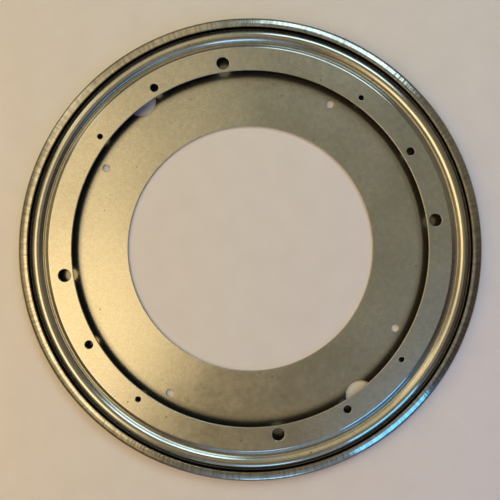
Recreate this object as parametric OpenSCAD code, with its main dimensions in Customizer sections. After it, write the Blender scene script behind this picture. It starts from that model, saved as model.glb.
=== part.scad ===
// Round turntable bearing: a thrust ball bearing pressed from sheet steel.
// A wide base plate screws to a support and a narrower ring-shaped top plate carries the load.
// Both are beaded into a ball race, and the base plate's rim curls over the top plate's flange,
// so the two can't be pulled apart. Origin: centre of the base plate's underside, +Z up.

/* [Overall] */
// Outside diameter, over the curled rim
outer_d = 304.8; // [304.4:0.1:308]
// Height of the load face above the base plate's underside
total_h = 8.0; // [8:0.05:8.4]
// Thickness of the sheet that both plates are pressed from
sheet_t = 1.1; // [1:0.05:1.1]

/* [Balls and race] */
// Diameter of one ball
ball_d = 5.5; // [5.35:0.05:5.5]
// Number of balls
ball_count = 48; // [36:1:54]
// Radius of the circle that the balls run on
race_r = 139.8; // [139.2:0.1:140.2]
// Gap between a ball and each plate
ball_gap = 0.125; // [0.1:0.005:0.15]
// Radius of the race's groove, seen in section
groove_r = 3.0; // [2.9:0.05:3.1]

/* [Base plate] */
// Diameter of the opening in the middle
base_opening_d = 162.8; // [140:0.2:200]
// Height of the two beads beside the race, above the flat
bead_h = 1.2; // [1.1:0.05:1.4]
// Slope of the beads' sides, in degrees
bead_slope = 35; // [33:1:37]
// Bend radius of the beads, at mid thickness
bead_bend_r = 1.9; // [1.7:0.05:2.0]
// Bend radius of the rim's lower corner, at mid thickness
rim_corner_r = 2.0; // [1.95:0.05:2.1]
// Bend radius of the rim's upper shoulder, at mid thickness
rim_shoulder_r = 2.6; // [2.5:0.05:2.6]
// Slope of the lip where it leaves the shoulder, in degrees
lip_slope = 18; // [16:1:20]
// How much flatter the lip is at its edge, in degrees
lip_flattening = 10; // [6:1:14]
// Radius of the lip's inner edge, at mid thickness
lip_edge_r = 145.8; // [145.5:0.1:146.2]

/* [Top plate] */
// Diameter of the ring's opening
top_opening_d = 233; // [225:0.5:235]
// Mid-thickness height of the valley between the load face and the race
valley_h = 5.15; // [5.05:0.05:5.3]
// Slope of the step down from the load face, in degrees
step_slope = 29; // [26:1:34]
// Slope of the race bead's inner side, in degrees
race_inner_slope = 50; // [46:1:52]
// Slope of the race bead's outer side, in degrees
race_outer_slope = 62; // [58:1:64]
// Bend radius beside the load face and the flange, at mid thickness
top_bend_r = 1.6; // [1.5:0.05:1.7]
// Bend radius of the valley, at mid thickness
valley_bend_r = 0.85; // [0.75:0.05:1.25]
// Mid-thickness height of the flange that the rim traps
flange_h = 4.05; // [4:0.05:4.1]
// Radius of the flange's edge
flange_r = 149.2; // [148.6:0.1:149.4]

/* [Screw holes] */
// Number of holes of each size
hole_count = 4; // [4]
// Circle of the top plate's holes, as a diameter
top_pcd = 244.4; // [243:0.1:246]
// Diameters of the top plate's large, medium and small holes
top_hole_ds = [8.3, 5.4, 3.6];
// Angle of the first large hole, in degrees
top_hole_start = 8.5; // [0:0.5:20]
// Angle from one size of hole to the next, in degrees
top_hole_step = 22.5; // [20:0.5:25]
// Circle of the base plate's screw holes, as a diameter
base_pcd = 219.6; // [216:0.1:222]
// Diameter of the base plate's screw holes
base_hole_d = 4.7; // [3.5:0.1:5.5]
// Angle of the base plate's first screw hole, in degrees
base_hole_start = 61; // [55:0.5:65]
// Diameter of the two holes that let a screwdriver reach the top plate's screws
access_d = 20.1; // [16:0.1:20.5]
// Angle of the first of them, in degrees
access_start = 126.8; // [120:0.1:132]

/* [Ball retainer] */
// Inner radius of the retainer
retainer_inner_r = 134; // [133.5:0.1:135]
// Outer radius of the retainer's fingers
retainer_outer_r = 142.3; // [142:0.1:142.3]
// Height of the retainer's underside
retainer_z = 3.3; // [3.2:0.05:3.4]
// Thickness of the retainer
retainer_t = 1.0; // [0.8:0.05:1]
// Clearance between a ball and its pocket
pocket_gap = 0.25; // [0.2:0.05:0.35]

/* [Hidden] */
$fn = 180;
sphere_fn = 48;
hole_fn = 64;
bend_steps = 6;
cut_margin = 1;

half_t = sheet_t / 2;
race_bend_r = groove_r + half_t;
ball_z = sheet_t + ball_gap + ball_d / 2;
crest_h = sheet_t + 2 * ball_gap + ball_d + half_t;
load_face_mid_h = total_h - half_t;
step_drop = load_face_mid_h - valley_h;
race_rise = crest_h - valley_h;
race_fall = crest_h - flange_h;
rim_mid_r = outer_d / 2 - half_t;
full_turn = 360;
ball_pitch = full_turn / ball_count;
hole_pitch = full_turn / hole_count;

plate_colour = [0.68, 0.66, 0.60];
ball_colour = [0.80, 0.81, 0.83];
retainer_colour = [0.90, 0.88, 0.82];

function ball_name(i) = str("ball_", i < 10 ? "0" : "", i);

// ---- The bent sheet's section ----
// A section is a start point, then runs: [length, 0] is straight, and [radius, angle] is a bend.
// A positive angle turns left, which is upwards on the way out from the middle.
// A station is [radius, height, heading] on the sheet's mid-line.

function bend_centre(station, radius, side) =
    [station[0] - side * radius * sin(station[2]), station[1] + side * radius * cos(station[2])];

function bend_stations(station, radius, angle) =
    let (side = sign(angle), centre = bend_centre(station, radius, side))
    [for (i = [1:bend_steps])
        let (heading = station[2] + angle * i / bend_steps)
        [centre[0] + side * radius * sin(heading), centre[1] - side * radius * cos(heading), heading]];

function straight_station(station, length) =
    [station[0] + length * cos(station[2]), station[1] + length * sin(station[2]), station[2]];

function run_stations(station, run) =
    run[1] == 0 ? [straight_station(station, run[0])] : bend_stations(station, run[0], run[1]);

function trace(station, runs, i = 0) =
    i == len(runs) ? [] :
    let (part = run_stations(station, runs[i]))
    concat(part, trace(part[len(part) - 1], runs, i + 1));

function side_point(station, offset) =
    [station[0] - offset * sin(station[2]), station[1] + offset * cos(station[2])];

function sheet_outline(stations) = concat(
    [for (station = stations) side_point(station, -half_t)],
    [for (i = [len(stations) - 1:-1:0]) side_point(stations[i], half_t)]
);

// An S-bend: two opposite bends with a short straight between them, from level to level.
function s_straight(rise, slope, first_r, second_r) =
    (abs(rise) - (first_r + second_r) * (1 - cos(slope))) / sin(slope);

function s_run(rise, slope, first_r, second_r) =
    (first_r + second_r) * sin(slope) + s_straight(rise, slope, first_r, second_r) * cos(slope);

function s_bend(rise, slope, first_r, second_r) = [
    [first_r, sign(rise) * slope],
    [s_straight(rise, slope, first_r, second_r), 0],
    [second_r, -sign(rise) * slope]
];

// ---- Base plate ----

bead_inner_run = s_run(bead_h, bead_slope, bead_bend_r, bead_bend_r);
bead_race_run = s_run(bead_h, bead_slope, bead_bend_r, race_bend_r);
bead_foot_r = race_r - bead_race_run - bead_inner_run;
shelf_start_r = race_r + bead_race_run;
shelf_end_r = rim_mid_r - rim_corner_r;
base_start = [base_opening_d / 2, half_t, 0];
shoulder_turn = 90 - lip_slope;
lip_start_r = rim_mid_r - rim_shoulder_r * (1 - cos(shoulder_turn));
lip_run = lip_start_r - lip_edge_r;
lip_mean_slope = lip_slope - lip_flattening / 2;
// The lip's first half is a gentle bend and its second half is straight.
lip_bend_length = lip_run / 2 / cos(lip_mean_slope);
lip_bend_r = lip_bend_length / (lip_flattening * PI / 180);
lip_straight_length = lip_run / 2 / cos(lip_slope - lip_flattening);

base_runs = concat(
    [[bead_foot_r - base_opening_d / 2, 0]],
    s_bend(bead_h, bead_slope, bead_bend_r, bead_bend_r),
    s_bend(-bead_h, bead_slope, bead_bend_r, race_bend_r),
    s_bend(bead_h, bead_slope, race_bend_r, bead_bend_r),
    [[shelf_end_r - shelf_start_r, 0]],
    [[rim_corner_r, 90]],
    [[rim_shoulder_r, shoulder_turn]],
    [[lip_bend_r, lip_flattening]],
    [[lip_straight_length, 0]]
);

module sheet_ring(start, runs) {
    rotate_extrude()
        polygon(sheet_outline(concat([start], trace(start, runs))));
}

// Straight holes cut down through a sheet, evenly spaced on a circle
module hole_circle(circle_d, hole_d, count, start_angle) {
    for (i = [0:count - 1])
        rotate([0, 0, start_angle + i * full_turn / count])
            translate([circle_d / 2, 0, -cut_margin])
                cylinder(d = hole_d, h = total_h + 2 * cut_margin, $fn = hole_fn);
}

module base_plate() {
    color(plate_colour)
        difference() {
            sheet_ring(base_start, base_runs);
            hole_circle(base_pcd, base_hole_d, hole_count, base_hole_start);
            hole_circle(top_pcd, access_d, 2, access_start);
        }
}

// ---- Top plate ----

step_run = s_run(step_drop, step_slope, top_bend_r, valley_bend_r);
race_inner_run = s_run(race_rise, race_inner_slope, valley_bend_r, race_bend_r);
race_outer_run = s_run(race_fall, race_outer_slope, race_bend_r, top_bend_r);
load_face_edge_r = race_r - race_inner_run - step_run;
flange_start_r = race_r + race_outer_run;
top_start = [top_opening_d / 2, load_face_mid_h, 0];

top_runs = concat(
    [[load_face_edge_r - top_opening_d / 2, 0]],
    s_bend(-step_drop, step_slope, top_bend_r, valley_bend_r),
    s_bend(race_rise, race_inner_slope, valley_bend_r, race_bend_r),
    s_bend(-race_fall, race_outer_slope, race_bend_r, top_bend_r),
    [[flange_r - flange_start_r, 0]]
);

module top_plate() {
    color(plate_colour)
        difference() {
            sheet_ring(top_start, top_runs);
            for (i = [0:len(top_hole_ds) - 1])
                hole_circle(top_pcd, top_hole_ds[i], hole_count, top_hole_start + i * top_hole_step);
        }
}

// ---- Balls and their retainer ----

// Each pocket breaks through the fingers' outer edge, so a ball snaps in from the side.
module ball_retainer() {
    pocket_r = ball_d / 2 + pocket_gap;
    color(retainer_colour)
        translate([0, 0, retainer_z])
            difference() {
                cylinder(r = retainer_outer_r, h = retainer_t);
                translate([0, 0, -cut_margin])
                    cylinder(r = retainer_inner_r, h = retainer_t + 2 * cut_margin);
                for (i = [1:ball_count])
                    rotate([0, 0, ball_pitch * i])
                        translate([race_r, 0, -cut_margin])
                            cylinder(r = pocket_r, h = retainer_t + 2 * cut_margin, $fn = hole_fn);
            }
}

module race_ball(i) {
    color(ball_colour)
        rotate([0, 0, ball_pitch * i])
            translate([race_r, 0, ball_z])
                sphere(d = ball_d, $fn = sphere_fn);
}

base_plate();
top_plate();
ball_retainer();
for (i = [1:ball_count])
    race_ball(i);
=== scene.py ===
import math

import bpy
import numpy as np
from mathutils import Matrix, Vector, geometry


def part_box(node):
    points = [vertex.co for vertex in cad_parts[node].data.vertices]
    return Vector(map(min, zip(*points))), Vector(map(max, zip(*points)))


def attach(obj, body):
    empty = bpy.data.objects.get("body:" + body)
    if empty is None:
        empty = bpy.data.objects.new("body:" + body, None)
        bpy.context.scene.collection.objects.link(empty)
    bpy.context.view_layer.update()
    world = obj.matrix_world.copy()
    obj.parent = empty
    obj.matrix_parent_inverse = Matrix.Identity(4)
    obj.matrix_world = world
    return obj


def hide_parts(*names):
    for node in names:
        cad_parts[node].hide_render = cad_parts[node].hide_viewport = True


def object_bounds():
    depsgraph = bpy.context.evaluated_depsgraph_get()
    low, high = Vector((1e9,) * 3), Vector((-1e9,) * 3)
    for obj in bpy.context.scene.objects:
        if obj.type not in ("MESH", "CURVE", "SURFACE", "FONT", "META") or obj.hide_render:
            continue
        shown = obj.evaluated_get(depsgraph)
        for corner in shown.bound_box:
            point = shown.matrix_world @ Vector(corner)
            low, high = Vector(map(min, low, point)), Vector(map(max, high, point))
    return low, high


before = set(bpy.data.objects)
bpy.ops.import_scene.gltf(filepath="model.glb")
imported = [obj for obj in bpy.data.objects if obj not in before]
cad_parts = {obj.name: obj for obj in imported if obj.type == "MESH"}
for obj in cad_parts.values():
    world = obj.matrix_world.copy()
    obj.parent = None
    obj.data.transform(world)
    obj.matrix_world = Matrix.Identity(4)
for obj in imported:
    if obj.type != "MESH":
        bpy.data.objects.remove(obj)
cad_low, cad_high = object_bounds()
MM = 0.001

# ---- Base plate ----
# The wide disc of galvanised sheet steel that is screwed down. Two low beads are pressed beside the
# ball race, and the outside edge is rolled up and over in a spinning lathe, which leaves fine creases
# across the rim.

# Both plates are 1.1 mm sheet, pressed between dies into rings of straight runs and bends. A section
# is traced along the sheet's mid-line and turned round the axis.
SHEET_T = 1.1 * MM
HALF_T = SHEET_T / 2
BALL_RACE_R = 139.8 * MM
BALL_D = 5.5 * MM
BALL_GAP = 0.125 * MM
GROOVE_BEND_R = 3.0 * MM + HALF_T
BEND_STEPS = 10


def trace(start, runs, bend_steps=BEND_STEPS):
    """Stations (radius, height, heading) on the mid-line. A run is (length, 0) or (bend radius, turn)."""
    stations = [start]
    for size, turn in runs:
        r, z, heading = stations[-1]
        if turn == 0:
            stations.append((r + size * math.cos(heading), z + size * math.sin(heading), heading))
            continue
        side = math.copysign(1, turn)
        centre_r = r - side * size * math.sin(heading)
        centre_z = z + side * size * math.cos(heading)
        for i in range(1, bend_steps + 1):
            bent = heading + turn * i / bend_steps
            stations.append((centre_r + side * size * math.sin(bent),
                             centre_z - side * size * math.cos(bent), bent))
    return stations


def beside(station, offset):
    """The point beside the mid-line, to its left for a positive offset."""
    r, z, heading = station
    return (r - offset * math.sin(heading), z + offset * math.cos(heading))


def s_bend(rise, slope_deg, first_r, second_r):
    """Two opposite bends that take the sheet from one level to another, and the radius they use up."""
    slope = math.radians(slope_deg)
    straight = (abs(rise) - (first_r + second_r) * (1 - math.cos(slope))) / math.sin(slope)
    used = (first_r + second_r) * math.sin(slope) + straight * math.cos(slope)
    way = math.copysign(slope, rise)
    return [(first_r, way), (straight, 0), (second_r, -way)], used


def sheared_end(station, left_round, right_round, steps=4):
    """The cut end of the sheet, from its left face round to its right face, with both corners rounded."""
    r, z, heading = station
    ahead = Vector((math.cos(heading), math.sin(heading)))
    left = Vector((-math.sin(heading), math.cos(heading)))
    points = []
    for side, corner in ((1, left_round), (-1, right_round)):
        for i in range(steps + 1):
            share = i / steps if side > 0 else 1 - i / steps
            angle = math.radians(90) * (1 - share)
            out = corner * (math.cos(angle) - 1)
            up = side * (HALF_T - corner * (1 - math.sin(angle)))
            points.append(tuple(Vector((r, z)) + ahead * out + left * up))
    return points


class Sheet:
    """Collects the vertices and faces of one plate."""

    def __init__(self):
        self.verts = []
        self.faces = []

    def ring(self, r, z, count, centre=(0, 0), push=None):
        """A ring of points. push gives (outward, upward) shifts for every angle."""
        first = len(self.verts)
        angles = np.arange(count) * 2 * math.pi / count
        radii = np.full(count, r)
        heights = np.full(count, z)
        if push is not None:
            radii = radii + push[0]
            heights = heights + push[1]
        xs = centre[0] + radii * np.cos(angles)
        ys = centre[1] + radii * np.sin(angles)
        self.verts.extend(zip(xs, ys, heights))
        return list(range(first, first + count))

    def bridge(self, a, b):
        """Faces between two rings. One may have a whole number of times the other's points."""
        if len(a) > len(b):
            a, b = b, a
        times = len(b) // len(a)
        half = times // 2
        for i in range(len(a)):
            here, there = a[i], a[(i + 1) % len(a)]
            outer = [b[(i * times + k) % len(b)] for k in range(times + 1)]
            if times == 1:
                self.faces.append((here, outer[0], outer[1], there))
                continue
            for k in range(times):
                self.faces.append((here if k < half else there, outer[k], outer[k + 1]))
            self.faces.append((here, outer[half], there))

    def fill(self, inner, outer, holes):
        """A flat face between two rings, less the hole rings (centre, radius, points)."""
        loops = [inner, outer] + [points for _, _, points in holes]
        order = [v for loop in loops for v in loop]
        flat = [Vector(self.verts[v][:2]) / MM for v in order]
        edges = []
        start = 0
        for loop in loops:
            n = len(loop)
            edges += [(start + i, start + (i + 1) % n) for i in range(n)]
            start += n
        _, _, triangles, source, _, _ = geometry.delaunay_2d_cdt(flat, edges, [], 0, 1e-6)
        inner_r = flat[0].length
        for triangle in triangles:
            corners = [source[c][0] for c in triangle]
            middle = sum((flat[c] for c in corners), Vector((0, 0))) / 3
            if middle.length < inner_r:
                continue
            if any((middle - Vector(c) / MM).length < r / MM for c, r, _ in holes):
                continue
            self.faces.append([order[c] for c in corners])

    def piece(self, name):
        """Makes the plate's object, with every face turned outward."""
        mesh = bpy.data.meshes.new(name)
        mesh.from_pydata(self.verts, [], self.faces)
        made = bpy.data.objects.new(name, mesh)
        bpy.context.scene.collection.objects.link(made)
        bpy.context.view_layer.objects.active = made
        made.select_set(True)
        bpy.ops.object.mode_set(mode="EDIT")
        bpy.ops.mesh.select_all(action="SELECT")
        bpy.ops.mesh.normals_make_consistent(inside=False)
        bpy.ops.object.mode_set(mode="OBJECT")
        made.select_set(False)
        mesh.shade_smooth()
        return made


# A punch rounds the sheet over where it enters, and leaves a nearly sharp edge where it comes out.
PUNCH_ROUND = 0.27 * MM
EXIT_ROUND = 0.08 * MM
# A narrow flat strip next to every rounded edge keeps the wide faces truly flat.
EDGE_STRIP = 0.18 * MM


def punched_flat(sheet, low_z, inner_r, outer_r, count, holes):
    """The flat part of a plate, with its inner edge and holes. Returns its outer top and bottom rings."""
    high_z = low_z + SHEET_T
    edge = sheared_end((0, low_z + HALF_T, 0), PUNCH_ROUND, EXIT_ROUND)
    hole_rings = {"top": [], "bottom": []}
    for (x, y), radius, points in holes:
        rings = [sheet.ring(radius + PUNCH_ROUND + EDGE_STRIP, high_z, points, (x, y))]
        rings += [sheet.ring(radius - r, z, points, (x, y)) for r, z in edge]
        rings += [sheet.ring(radius + EXIT_ROUND + EDGE_STRIP, low_z, points, (x, y))]
        for a, b in zip(rings, rings[1:]):
            sheet.bridge(a, b)
        hole_rings["top"].append(((x, y), radius + PUNCH_ROUND + EDGE_STRIP, rings[0]))
        hole_rings["bottom"].append(((x, y), radius + EXIT_ROUND + EDGE_STRIP, rings[-1]))
    rings = [sheet.ring(inner_r + PUNCH_ROUND + EDGE_STRIP, high_z, count)]
    rings += [sheet.ring(inner_r - r, z, count) for r, z in edge]
    rings += [sheet.ring(inner_r + EXIT_ROUND + EDGE_STRIP, low_z, count)]
    for a, b in zip(rings, rings[1:]):
        sheet.bridge(a, b)
    ends = {}
    for face, z, inner in (("top", high_z, rings[0]), ("bottom", low_z, rings[-1])):
        ends[face] = sheet.ring(outer_r, z, count)
        sheet.fill(inner, ends[face], hole_rings[face])
    return ends["top"], ends["bottom"]


def hole_circle(circle_r, hole_r, count, start_deg, points):
    """Centres, radius and roundness of evenly spaced holes."""
    angles = [math.radians(start_deg + i * 360 / count) for i in range(count)]
    return [((circle_r * math.cos(a), circle_r * math.sin(a)), hole_r, points) for a in angles]


def add(tree, kind, settings, inputs):
    """Adds a node, sets its properties, and fills its inputs with values or with other nodes' outputs."""
    made = tree.nodes.new(kind)
    for name, value in settings.items():
        setattr(made, name, value)
    for name, value in inputs.items():
        if isinstance(value, bpy.types.NodeSocket):
            tree.links.new(value, made.inputs[name])
        else:
            made.inputs[name].default_value = value
    return made


def linear(hex_code):
    """An sRGB hex colour as linear red, green, blue and alpha."""
    parts = [int(hex_code[i:i + 2], 16) / 255 for i in (1, 3, 5)]
    return tuple(p / 12.92 if p <= 0.04045 else ((p + 0.055) / 1.055) ** 2.4 for p in parts) + (1.0,)


def new_material(name):
    """A material with its node tree and its main shader."""
    made = bpy.data.materials.new(name)
    made.use_nodes = True
    return made, made.node_tree, made.node_tree.nodes["Principled BSDF"]


def band(tree, value, start, blur, low=0.0, high=1.0):
    """Goes smoothly from low to high where a length passes start."""
    return add(tree, "ShaderNodeMapRange", {"interpolation_type": "SMOOTHSTEP"},
               {"Value": value, "From Min": start - blur / 2, "From Max": start + blur / 2,
                "To Min": low, "To Max": high}).outputs[0]


def zone(tree, value, start, start_blur, end, end_blur, high):
    """High between two lengths, and nothing outside them."""
    return add(tree, "ShaderNodeMath", {"operation": "MULTIPLY"},
               {0: band(tree, value, start, start_blur),
                1: band(tree, value, end, end_blur, high, 0.0)}).outputs[0]


def streaks_across_rim(tree, place):
    """A place that goes round with the angle and drifts slowly outward, and the radius itself."""
    flat = add(tree, "ShaderNodeVectorMath", {"operation": "MULTIPLY"}, {0: place, 1: (1, 1, 0)}).outputs[0]
    way = add(tree, "ShaderNodeVectorMath", {"operation": "NORMALIZE"}, {0: flat}).outputs[0]
    way = add(tree, "ShaderNodeVectorMath", {"operation": "SCALE"}, {0: way, "Scale": RIM_R}).outputs[0]
    far = add(tree, "ShaderNodeVectorMath", {"operation": "LENGTH"}, {0: flat}).outputs["Value"]
    up = add(tree, "ShaderNodeMath", {"operation": "MULTIPLY"}, {0: far, 1: STREAK_DRIFT}).outputs[0]
    up = add(tree, "ShaderNodeCombineXYZ", {}, {"Z": up}).outputs[0]
    return add(tree, "ShaderNodeVectorMath", {"operation": "ADD"}, {0: way, 1: up}).outputs[0], far


# What the zinc shows, by size: clouds from the bath, crystals, grain, specks of dirt, and the marks
# that a roller leaves across the rim. The real grain is finer, and is drawn as coarse as it shows.
CLOUD_SIZE = 38 * MM
CRYSTAL_SIZE = 3.2 * MM
GRAIN_SIZE = 0.9 * MM
SPECK_SPACING = 13 * MM
ROLLER_MARK = 1.7 * MM
# The rim's middle, how little a mark changes along its length, and how far past the lip the rim's darker
# outside begins.
RIM_R = 148 * MM
STREAK_DRIFT = 0.12
RIM_OUTSIDE = 5.1 * MM


def galvanised_steel(name, zinc_hex, shift, worked_from, grease_and_shade_from, grease_and_shade_to, rolled_from, underside_shade_from,
                     painted_shade_from, painted_shade_to):
    """Hot-dip zinc on cold-rolled sheet. The flats are frosted and mottled, and the dies burnished
    everything past worked_from. Dark grease lies in the race, with painted shade under the lip; painted
    shade darkens what faces down and the base plate beside the ring; the rim's outside is darker, and
    the rolled rim is streaked."""
    material, tree, shader = new_material(name)
    here = add(tree, "ShaderNodeTexCoord", {}, {}).outputs["Object"]
    place = add(tree, "ShaderNodeVectorMath", {"operation": "ADD"}, {0: here, 1: shift}).outputs[0]
    streaks, far = streaks_across_rim(tree, here)
    clouds, crystals, grain, marks = [
        add(tree, "ShaderNodeTexNoise", {},
            {"Vector": where, "Scale": 1 / size, "Detail": detail, "Roughness": roughness}).outputs["Fac"]
        for where, size, detail, roughness in (
            (place, CLOUD_SIZE, 4.0, 0.55), (place, CRYSTAL_SIZE, 3.0, 0.6), (place, GRAIN_SIZE, 2.0, 0.5),
            (streaks, ROLLER_MARK, 2.5, 0.6))]
    specks = add(tree, "ShaderNodeTexVoronoi", {"feature": "F1"},
                 {"Vector": place, "Scale": 1 / SPECK_SPACING, "Randomness": 1.0}).outputs["Distance"]
    rolled = band(tree, far, rolled_from, 0.6 * MM)

    # Each pattern dims and brightens the zinc a little.
    tone = 1.0
    for pattern, low, high, dim, bright, share in (
            (clouds, 0.3, 0.7, 0.93, 1.06, 1.0), (crystals, 0.3, 0.7, 0.94, 1.06, 1.0),
            (grain, 0.3, 0.7, 0.92, 1.08, 1.0), (marks, 0.36, 0.62, 0.70, 1.0, rolled)):
        level = add(tree, "ShaderNodeMapRange", {},
                    {"Value": pattern, "From Min": low, "From Max": high,
                     "To Min": dim, "To Max": bright}).outputs[0]
        level = add(tree, "ShaderNodeMix", {}, {"Factor": share, "A": 1.0, "B": level}).outputs["Result"]
        tone = add(tree, "ShaderNodeMath", {"operation": "MULTIPLY"}, {0: tone, 1: level}).outputs[0]
    colour = add(tree, "ShaderNodeVectorMath", {"operation": "SCALE"},
                 {0: linear(zinc_hex)[:3], "Scale": tone}).outputs[0]

    # What lies on the zinc, with painted shade: specks of dirt, grease in the race that also stands in for
    # the shade under the lip, a darker band round the rim's outside, painted shade beside the ring, and
    # painted shade on what faces down.
    facing = add(tree, "ShaderNodeNewGeometry", {}, {}).outputs["Normal"]
    facing = add(tree, "ShaderNodeSeparateXYZ", {}, {0: facing}).outputs["Z"]
    # Painted shade: what faces down is darkened nearly black, so the undersides stay dark where the base
    # plate mirrors them.
    underside_shade = add(tree, "ShaderNodeMath", {"operation": "MULTIPLY"},
              {0: band(tree, facing, -0.2, 0.3, 0.97, 0.0),
               1: band(tree, far, underside_shade_from, 1 * MM)}).outputs[0]
    for amount, film in (
            (band(tree, specks, 0.047, 0.025, 0.55, 0.0), "#4a4436"),
            # Grease, with painted shade: this dark blue-black band also stands in for the shade under the
            # rim's lip.
            (zone(tree, far, grease_and_shade_from, 0.4 * MM, grease_and_shade_to, 0.3 * MM, 0.93), "#20262a"),
            # A darker band round the rim's outside.
            (band(tree, far, rolled_from + RIM_OUTSIDE, 0.7 * MM, 0.0, 0.72), "#544a38"),
            # Painted shade: a dark band on the base plate beside the ring, where the ring shades it and
            # mirrors dark.
            (zone(tree, far, painted_shade_from, 6 * MM, painted_shade_to, 4 * MM, 0.6), "#1e1c16"),
            (underside_shade, "#12161a")):
        colour = add(tree, "ShaderNodeMix", {"data_type": "RGBA"},
                     {"Factor": amount, "A": colour, "B": linear(film)}).outputs["Result"]

    rough = add(tree, "ShaderNodeMapRange", {}, {"Value": clouds, "From Min": 0.25, "From Max": 0.75,
                                                 "To Min": 0.15, "To Max": 0.21}).outputs[0]
    rough = add(tree, "ShaderNodeMath", {"operation": "MULTIPLY_ADD"},
                {0: crystals, 1: 0.08, 2: rough}).outputs[0]
    rough = add(tree, "ShaderNodeMath", {"operation": "MULTIPLY"},
                {0: rough, 1: band(tree, far, worked_from, 1 * MM, 1.0, 0.55)}).outputs[0]
    relief = add(tree, "ShaderNodeMath", {"operation": "MULTIPLY_ADD"},
                 {0: crystals, 1: 2.0, 2: grain}).outputs[0]
    ripple = add(tree, "ShaderNodeMath", {"operation": "MULTIPLY"}, {0: marks, 1: rolled}).outputs[0]
    skin = add(tree, "ShaderNodeBump", {}, {"Strength": 0.5, "Distance": 0.012 * MM, "Height": relief})
    for strength, depth, pattern in ((0.5, 0.12 * MM, clouds), (0.8, 0.11 * MM, ripple)):
        skin = add(tree, "ShaderNodeBump", {}, {"Strength": strength, "Distance": depth, "Height": pattern,
                                                "Normal": skin.outputs[0]})

    # A frosted skin scatters part of the light more widely than the zinc beneath it.
    frost = add(tree, "ShaderNodeBsdfPrincipled", {}, {"Roughness": 0.55, "Metallic": 1.0})
    shader.inputs["Metallic"].default_value = 0.97
    tree.links.new(rough, shader.inputs["Roughness"])
    for layer in (shader, frost):
        tree.links.new(colour, layer.inputs["Base Color"])
        tree.links.new(skin.outputs[0], layer.inputs["Normal"])
    frosted = band(tree, far, worked_from, 1 * MM, 0.17, 0.06)
    layers = add(tree, "ShaderNodeMixShader", {}, {0: frosted, 1: shader.outputs[0], 2: frost.outputs[0]})
    tree.links.new(layers.outputs[0], tree.nodes["Material Output"].inputs["Surface"])
    return material


# The base plate's own section runs from its flat face over the two beads, then round the rolled rim.
base_low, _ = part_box("base_plate")
RIM_MID_R = cad_high.x - HALF_T
BASE_OPENING_R = 81.4 * MM
BEAD_H = 1.2 * MM
BEAD_SLOPE = 35
BEAD_BEND_R = 1.9 * MM
RIM_CORNER_R = 2.0 * MM
RIM_SHOULDER_R = 2.6 * MM
LIP_SLOPE = math.radians(18)
LIP_FLATTENING = math.radians(10)
LIP_EDGE_R = 145.8 * MM
BASE_COUNT = 400
BEAD_STEPS = 5
RIM_STEPS = 8
RIM_TIMES = 4

inner_side, inner_used = s_bend(BEAD_H, BEAD_SLOPE, BEAD_BEND_R, BEAD_BEND_R)
race_down, race_used = s_bend(-BEAD_H, BEAD_SLOPE, BEAD_BEND_R, GROOVE_BEND_R)
race_up, _ = s_bend(BEAD_H, BEAD_SLOPE, GROOVE_BEND_R, BEAD_BEND_R)
bead_foot_r = BALL_RACE_R - race_used - inner_used
shelf_length = RIM_MID_R - RIM_CORNER_R - (BALL_RACE_R + race_used)
shoulder_turn = math.radians(90) - LIP_SLOPE
lip_run = RIM_MID_R - RIM_SHOULDER_R * (1 - math.cos(shoulder_turn)) - LIP_EDGE_R
lip_bend_r = lip_run / 2 / math.cos(LIP_SLOPE - LIP_FLATTENING / 2) / LIP_FLATTENING
base_path = trace((bead_foot_r, base_low.z + HALF_T, 0),
                  inner_side + race_down + race_up + [(shelf_length, 0)], BEAD_STEPS)
base_path += trace(base_path[-1],
                   [(RIM_CORNER_R, math.radians(90)), (RIM_SHOULDER_R, shoulder_turn),
                    (lip_bend_r, LIP_FLATTENING), (lip_run / 2 / math.cos(LIP_SLOPE - LIP_FLATTENING), 0)],
                   RIM_STEPS)[1:]

RIM_COUNT = BASE_COUNT * RIM_TIMES
CREASES = 330
dice = np.random.default_rng(12)
crease_at = (np.arange(CREASES) + dice.uniform(-0.42, 0.42, CREASES)) * 2 * math.pi / CREASES
crease_width = dice.uniform(0.45, 1.0, CREASES) * MM
crease_depth = dice.uniform(0.1, 1.0, CREASES) ** 2 * 0.038 * MM
crease_middle = dice.uniform(0.15, 0.95, CREASES)
crease_reach = dice.uniform(0.25, 0.8, CREASES)
rim_angles = np.arange(RIM_COUNT) * 2 * math.pi / RIM_COUNT


def rim_creases(share):
    """How far the rim's skin is pressed in at every angle, at a share of the way from corner to lip."""
    depth = np.zeros(RIM_COUNT)
    for at, width, deep, middle, reach in zip(crease_at, crease_width, crease_depth, crease_middle,
                                              crease_reach):
        off = (rim_angles - at + math.pi) % (2 * math.pi) - math.pi
        across = np.exp(-0.5 * (off * RIM_MID_R / width) ** 2)
        along = math.exp(-0.5 * ((share - middle) / reach) ** 2)
        depth += deep * across * along
    # The roller pressed harder on some stretches than on others.
    depth *= 0.75 + 0.45 * np.sin(2 * rim_angles + 0.6) * np.sin(rim_angles * 3 - 1.1)
    return depth


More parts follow.
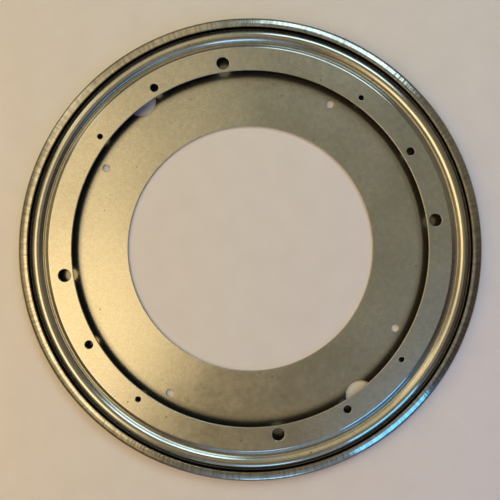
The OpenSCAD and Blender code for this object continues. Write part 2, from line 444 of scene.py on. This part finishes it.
# Circle radius, hole radius, how many, the first one's angle in degrees, and points to a hole.
SCREW_HOLES = (109.8 * MM, 2.35 * MM, 4, 61, 40)
ACCESS_HOLES = (122.2 * MM, 10.05 * MM, 2, 126.8, 96)
base_holes = hole_circle(*SCREW_HOLES) + hole_circle(*ACCESS_HOLES)
base_sheet = Sheet()
top_ring, bottom_ring = punched_flat(base_sheet, base_low.z, BASE_OPENING_R,
                                     bead_foot_r - EDGE_STRIP, BASE_COUNT, base_holes)
rings = [top_ring]
for station in base_path[:-1]:
    rings.append(base_sheet.ring(*beside(station, HALF_T), BASE_COUNT))
for r, z in sheared_end(base_path[-1], EXIT_ROUND, PUNCH_ROUND / 2, 2):
    rings.append(base_sheet.ring(r, z, RIM_COUNT))
rim_stations = 3 * RIM_STEPS + 1
rim_path = base_path[:-1][::-1]
for k, station in enumerate(rim_path):
    r, z = beside(station, -HALF_T)
    if k >= rim_stations:
        rings.append(base_sheet.ring(r, z, BASE_COUNT))
        continue
    share = 1 - k / rim_stations
    fade = min(1, share * 3)
    depth = rim_creases(share) * fade
    inward = (math.sin(station[2]) * -depth, math.cos(station[2]) * depth)
    rings.append(base_sheet.ring(r, z, RIM_COUNT, push=inward))
rings.append(bottom_ring)
for a, b in zip(rings, rings[1:]):
    base_sheet.bridge(a, b)
base_plate = base_sheet.piece("base_plate_sheet")
base_plate.data.materials.append(galvanised_steel(
    "galvanised_steel_base", "#c9c5b8", shift=(0.31, 0.17, 0.0), worked_from=LIP_EDGE_R - 0.2 * MM,
    grease_and_shade_from=133 * MM, grease_and_shade_to=LIP_EDGE_R - 0.1 * MM, rolled_from=LIP_EDGE_R - 0.2 * MM,
    underside_shade_from=140 * MM, painted_shade_from=113.5 * MM, painted_shade_to=141.5 * MM))
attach(base_plate, "base_plate")
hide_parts("base_plate")

# ---- Top plate ----
# The ring that carries the load, pressed from the same sheet. It steps down from its flat face to a
# valley, rises over the balls in a raised bead, and drops to a flange that the rolled rim holds down.

top_low, top_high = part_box("top_plate")
TOP_OPENING_R = 116.5 * MM
TOP_BEND_R = 1.6 * MM
VALLEY_BEND_R = 0.85 * MM
VALLEY_H = 5.15 * MM
STEP_SLOPE = 29
RACE_INNER_SLOPE = 50
RACE_OUTER_SLOPE = 62
FLANGE_H = top_low.z + HALF_T
FLANGE_R = 149.2 * MM
TOP_COUNT = 600
crest_h = SHEET_T + 2 * BALL_GAP + BALL_D + HALF_T
face_mid_h = top_high.z - HALF_T
step_down, step_used = s_bend(VALLEY_H - face_mid_h, STEP_SLOPE, TOP_BEND_R, VALLEY_BEND_R)
bead_up, bead_used = s_bend(crest_h - VALLEY_H, RACE_INNER_SLOPE, VALLEY_BEND_R, GROOVE_BEND_R)
bead_down, drop_used = s_bend(FLANGE_H - crest_h, RACE_OUTER_SLOPE, GROOVE_BEND_R, TOP_BEND_R)
face_edge_r = BALL_RACE_R - bead_used - step_used
top_path = trace((face_edge_r, face_mid_h, 0),
                 step_down + bead_up + bead_down + [(FLANGE_R - BALL_RACE_R - drop_used, 0)])

# Three sets of four holes for bolts and screws, a sixteenth of a turn apart on one circle.
TOP_HOLE_CIRCLE_R = 122.2 * MM
FIRST_HOLE_DEG = 8.5
NEXT_HOLE_DEG = 22.5
TOP_HOLES = ((4.15 * MM, 56), (2.7 * MM, 44), (1.8 * MM, 36))
top_holes = []
for k, (hole_r, points) in enumerate(TOP_HOLES):
    top_holes += hole_circle(TOP_HOLE_CIRCLE_R, hole_r, 4, FIRST_HOLE_DEG + k * NEXT_HOLE_DEG, points)
top_sheet = Sheet()
top_ring, bottom_ring = punched_flat(top_sheet, top_high.z - SHEET_T, TOP_OPENING_R,
                                     face_edge_r - EDGE_STRIP, TOP_COUNT, top_holes)
rings = [top_ring]
for station in top_path[:-1]:
    rings.append(top_sheet.ring(*beside(station, HALF_T), TOP_COUNT))
for r, z in sheared_end(top_path[-1], PUNCH_ROUND, EXIT_ROUND):
    rings.append(top_sheet.ring(r, z, TOP_COUNT))
for station in top_path[:-1][::-1]:
    rings.append(top_sheet.ring(*beside(station, -HALF_T), TOP_COUNT))
rings.append(bottom_ring)
for a, b in zip(rings, rings[1:]):
    top_sheet.bridge(a, b)
top_plate = top_sheet.piece("top_plate_sheet")
# The rolled marks and the painted shade beside the ring don't reach the top plate, so they start past its
# edge.
PAST_EDGE = 160 * MM
top_plate.data.materials.append(galvanised_steel(
    "galvanised_steel_top", "#c9c5b8", shift=(0.0, 0.0, 0.0), worked_from=face_edge_r,
    grease_and_shade_from=145.1 * MM, grease_and_shade_to=PAST_EDGE, rolled_from=PAST_EDGE, underside_shade_from=0.0,
    painted_shade_from=PAST_EDGE, painted_shade_to=PAST_EDGE))
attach(top_plate, "top_plate")
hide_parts("top_plate")

# ---- Ball retainer ----
# A thin moulded nylon ring that spaces the balls. It is natural nylon: ivory, slightly waxy, with a
# film of grease from the race.


def natural_nylon():
    """Moulded nylon without pigment: ivory, soft gloss, faint flow marks."""
    material, tree, shader = new_material("natural_nylon")
    place = add(tree, "ShaderNodeTexCoord", {}, {}).outputs["Object"]
    flow = add(tree, "ShaderNodeTexNoise", {},
               {"Vector": place, "Scale": 1 / (9 * MM), "Detail": 3.0}).outputs["Fac"]
    colour = add(tree, "ShaderNodeMix", {"data_type": "RGBA"},
                 {"Factor": flow, "A": linear("#e6dfc9"), "B": linear("#d6cdb4")}).outputs["Result"]
    tree.links.new(colour, shader.inputs["Base Color"])
    rough = add(tree, "ShaderNodeMapRange", {}, {"Value": flow, "To Min": 0.34, "To Max": 0.5}).outputs[0]
    tree.links.new(rough, shader.inputs["Roughness"])
    shader.inputs["IOR"].default_value = 1.53
    shader.inputs["Subsurface Weight"].default_value = 0.15
    shader.inputs["Subsurface Scale"].default_value = 1 * MM
    bump = add(tree, "ShaderNodeBump", {}, {"Strength": 0.4, "Distance": 0.02 * MM, "Height": flow})
    tree.links.new(bump.outputs[0], shader.inputs["Normal"])
    return material


def finish_node(node, material):
    """A CAD node keeps its shape and takes a real finish."""
    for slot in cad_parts[node].material_slots:
        slot.material = material


finish_node("ball_retainer", natural_nylon())

# ---- Balls ----
# Hardened carbon steel, ground and polished, then wetted with light grease. They are loose in the
# retainer's pockets and roll between the two plates.


def polished_ball_steel():
    """Ground and polished carbon steel: a clean mirror under a slight film of grease."""
    material, tree, shader = new_material("polished_ball_steel")
    place = add(tree, "ShaderNodeTexCoord", {}, {}).outputs["Object"]
    film = add(tree, "ShaderNodeTexNoise", {},
               {"Vector": place, "Scale": 1 / (1.5 * MM), "Detail": 2.0}).outputs["Fac"]
    colour = add(tree, "ShaderNodeMix", {"data_type": "RGBA"},
                 {"Factor": film, "A": linear("#d3d5d8"), "B": linear("#bfc0bd")}).outputs["Result"]
    tree.links.new(colour, shader.inputs["Base Color"])
    rough = add(tree, "ShaderNodeMapRange", {}, {"Value": film, "To Min": 0.06, "To Max": 0.16}).outputs[0]
    tree.links.new(rough, shader.inputs["Roughness"])
    shader.inputs["Metallic"].default_value = 1.0
    return material


ball_steel = polished_ball_steel()
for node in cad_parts:
    if node.startswith("ball_") and node != "ball_retainer":
        finish_node(node, ball_steel)

# ---- Table and light ----
# A pale paper-covered table, warm room light from the left, and cooler daylight from the right.


def pale_paper():
    """Uncoated paper: off-white, matt, with a barely visible cloudy formation."""
    material, tree, shader = new_material("pale_paper")
    place = add(tree, "ShaderNodeTexCoord", {}, {}).outputs["Object"]
    cloud = add(tree, "ShaderNodeTexNoise", {},
                {"Vector": place, "Scale": 1 / (18 * MM), "Detail": 5.0}).outputs["Fac"]
    colour = add(tree, "ShaderNodeMix", {"data_type": "RGBA"},
                 {"Factor": cloud, "A": linear("#e9e4df"), "B": linear("#dfd9d3")}).outputs["Result"]
    tree.links.new(colour, shader.inputs["Base Color"])
    shader.inputs["Roughness"].default_value = 0.85
    bump = add(tree, "ShaderNodeBump", {}, {"Strength": 0.3, "Distance": 0.05 * MM, "Height": cloud})
    tree.links.new(bump.outputs[0], shader.inputs["Normal"])
    return material


bpy.ops.mesh.primitive_plane_add(size=5, location=(0, 0, cad_low.z - 0.1 * MM))
table = bpy.context.object
table.name = "table"
paper = pale_paper()
table.data.materials.append(paper)

# A plain round backdrop closes the low views. It neither shades the table nor shows in the metal.
bpy.ops.mesh.primitive_cylinder_add(vertices=96, radius=2.4, depth=4, end_fill_type="NOTHING",
                                    location=(0, 0, 1.9))
backdrop = bpy.context.object
backdrop.name = "backdrop"
backdrop.data.shade_smooth()
backdrop.data.materials.append(paper)
backdrop.visible_diffuse = False
backdrop.visible_glossy = False
backdrop.visible_shadow = False


def toward(azimuth_deg, elevation_deg):
    """The unit vector that points up and out in a direction."""
    a, e = math.radians(azimuth_deg), math.radians(elevation_deg)
    return Vector((math.cos(e) * math.cos(a), math.cos(e) * math.sin(a), math.sin(e)))


def soft_light(name, azimuth_deg, elevation_deg, distance, width, height, radiance, hex_code):
    """A soft light panel that faces the bearing and lights only what is matt."""
    light = bpy.data.lights.new(name, "AREA")
    light.shape = "RECTANGLE"
    light.size = width
    light.size_y = height
    light.energy = radiance * math.pi * width * height
    light.color = linear(hex_code)[:3]
    holder = bpy.data.objects.new(name, light)
    bpy.context.scene.collection.objects.link(holder)
    way = toward(azimuth_deg, elevation_deg)
    holder.location = way * distance
    holder.rotation_euler = way.to_track_quat("Z", "Y").to_euler()
    holder.visible_camera = False
    holder.visible_glossy = False
    return holder


soft_light("warm_lamp", 185, 32, 0.60, 0.35, 0.30, 2.95, "#ffbe20")
soft_light("sky_glow", 340, 36, 0.50, 0.30, 0.30, 1.15, "#1c34ff")
# The blue window is close enough to show in the metal, and it lights nothing that is matt.
blue_window = soft_light("blue_window", 309, 22, 0.26, 0.10, 0.065, 2.9, "#5fbcff")
blue_window.visible_glossy = True
blue_window.visible_diffuse = False
soft_light("window_glow", 60, 45, 0.80, 0.40, 0.40, 1.35, "#cff8ff")

# The room that the metal mirrors: a dark brown wall that brightens to an olive ceiling.
world = bpy.data.worlds.new("room")
bpy.context.scene.world = world
world.use_nodes = True
room = world.node_tree
sight = add(room, "ShaderNodeTexCoord", {}, {}).outputs["Generated"]
axes = add(room, "ShaderNodeSeparateXYZ", {}, {0: sight}).outputs
turn = add(room, "ShaderNodeMath", {"operation": "ARCTAN2"}, {0: axes["Y"], 1: axes["X"]}).outputs[0]
azimuth = add(room, "ShaderNodeMath", {"operation": "DEGREES"}, {0: turn}).outputs[0]
climb = add(room, "ShaderNodeMath", {"operation": "ARCSINE"}, {0: axes["Z"]}).outputs[0]
elevation = add(room, "ShaderNodeMath", {"operation": "DEGREES"}, {0: climb}).outputs[0]
rise = add(room, "ShaderNodeMapRange", {"interpolation_type": "SMOOTHSTEP"},
           {"Value": elevation, "From Min": 48.0, "From Max": 66.0}).outputs[0]
total = add(room, "ShaderNodeMix", {"data_type": "RGBA"},
            {"Factor": rise, "A": linear("#5c574d"), "B": linear("#918a72")}).outputs["Result"]

# Each patch of the room: its name, azimuth, elevation, width, height, soft sides and soft top in
# degrees, colour and strength. A later patch lies over an earlier one.
ROOM_PATCHES = (
    ("wall left of the lamp", 130, 48, 72, 56, 20, 20, "#b9ab8a", 1.25),
    ("warm wall", 176, 18, 34, 36, 12, 12, "#8a7a52", 1.0),
    ("dark wall under the lamp", 222, 12, 60, 34, 16, 16, "#5a5038", 1.0),
    ("dark wall on the right", 347, 22, 56, 66, 16, 18, "#49392b", 1.0),
    ("wall beside the window", 22, 26, 36, 68, 16, 18, "#6e6553", 1.0),
    ("blue wall", 312, 14, 34, 50, 12, 12, "#4b6383", 1.1),
    ("teal wall round the window", 68, 12, 34, 40, 12, 14, "#6f838c", 0.95),
    ("window reveal", 91, 41, 14, 18, 8, 8, "#93a6b0", 1.0),
    ("cool wall", 278, 25, 44, 54, 14, 12, "#8998a9", 1.0),
    ("brown ceiling", 278, 70, 76, 18, 14, 14, "#726142", 1.0),
    ("pale edge of the ceiling", 325, 64, 70, 9, 8, 8, "#9aa0a8", 1.0),
    ("half-lit ceiling", 160, 63, 56, 32, 28, 14, "#ffe6b4", 1.25),
    ("lit ceiling", 203, 63.5, 60, 33, 28, 14, "#ffe2ac", 2.25),
    ("lamp", 214, 54, 34, 12, 12, 8, "#fff2cc", 2.5),
    ("lamp glow", 210, 40, 72, 17, 14, 12, "#cbb184", 1.1),
    ("door post", 142, 29, 15, 34, 8, 8, "#fff0cc", 1.25),
    ("window, left pane", 58, 42, 18, 24, 9, 5, "#d2f0ff", 3.2),
    ("window, right pane", 77, 37, 18, 24, 7, 5, "#d2f0ff", 3.0),
    ("cool post", 275, 26, 15, 15, 5, 5, "#9fd0ff", 2.8),
)
for patch, middle, height, wide, high, side_blur, top_blur, tint, strength in ROOM_PATCHES:
    away = []
    for angle, centre in ((azimuth, middle), (elevation, height)):
        off = add(room, "ShaderNodeMath", {"operation": "SUBTRACT"}, {0: angle, 1: centre}).outputs[0]
        off = add(room, "ShaderNodeMath", {"operation": "WRAP"}, {0: off, 1: -180.0, 2: 180.0}).outputs[0]
        away.append(add(room, "ShaderNodeMath", {"operation": "ABSOLUTE"}, {0: off}).outputs[0])
    inside = add(room, "ShaderNodeMath", {"operation": "MULTIPLY"},
                 {0: band(room, away[0], wide / 2, side_blur, 1.0, 0.0),
                  1: band(room, away[1], high / 2, top_blur, 1.0, 0.0)}).outputs[0]
    light = Vector(linear(tint)[:3]) * strength
    total = add(room, "ShaderNodeMix", {"data_type": "RGBA", "label": patch},
                {"Factor": inside, "A": total, "B": (*light, 1)}).outputs["Result"]
# A ceiling beam crosses the view. Past the plane that it lies in, the ceiling is dimmer and cooler.
BEAM_NORMAL = (0.889, 0.443, -0.109)
BEAM_SHADE = (0.82, 0.87, 0.95, 1)
past = add(room, "ShaderNodeVectorMath", {"operation": "DOT_PRODUCT"},
           {0: sight, 1: BEAM_NORMAL}).outputs["Value"]
past = add(room, "ShaderNodeMath", {"operation": "MULTIPLY"},
           {0: band(room, past, 0.0, 0.02), 1: band(room, elevation, 60.0, 6.0)}).outputs[0]
total = add(room, "ShaderNodeMix", {"data_type": "RGBA", "blend_type": "MULTIPLY"},
            {"Factor": past, "A": total, "B": BEAM_SHADE}).outputs["Result"]
background = room.nodes["Background"]
room.links.new(total, background.inputs["Color"])

# ---- Camera ----
# A hand-held view from almost straight above.

camera_data = bpy.data.cameras.new("camera")
camera_data.lens = 34.65
camera_data.sensor_width = 36
camera = bpy.data.objects.new("camera", camera_data)
bpy.context.scene.collection.objects.link(camera)
camera.rotation_mode = "ZYX"
camera.location = (-0.65 * MM, -6.76 * MM, 321.2 * MM)
camera.rotation_euler = (math.radians(0.96), math.radians(-0.07), 0)
bpy.context.scene.camera = camera
bpy.context.scene.view_settings.view_transform = "Standard"
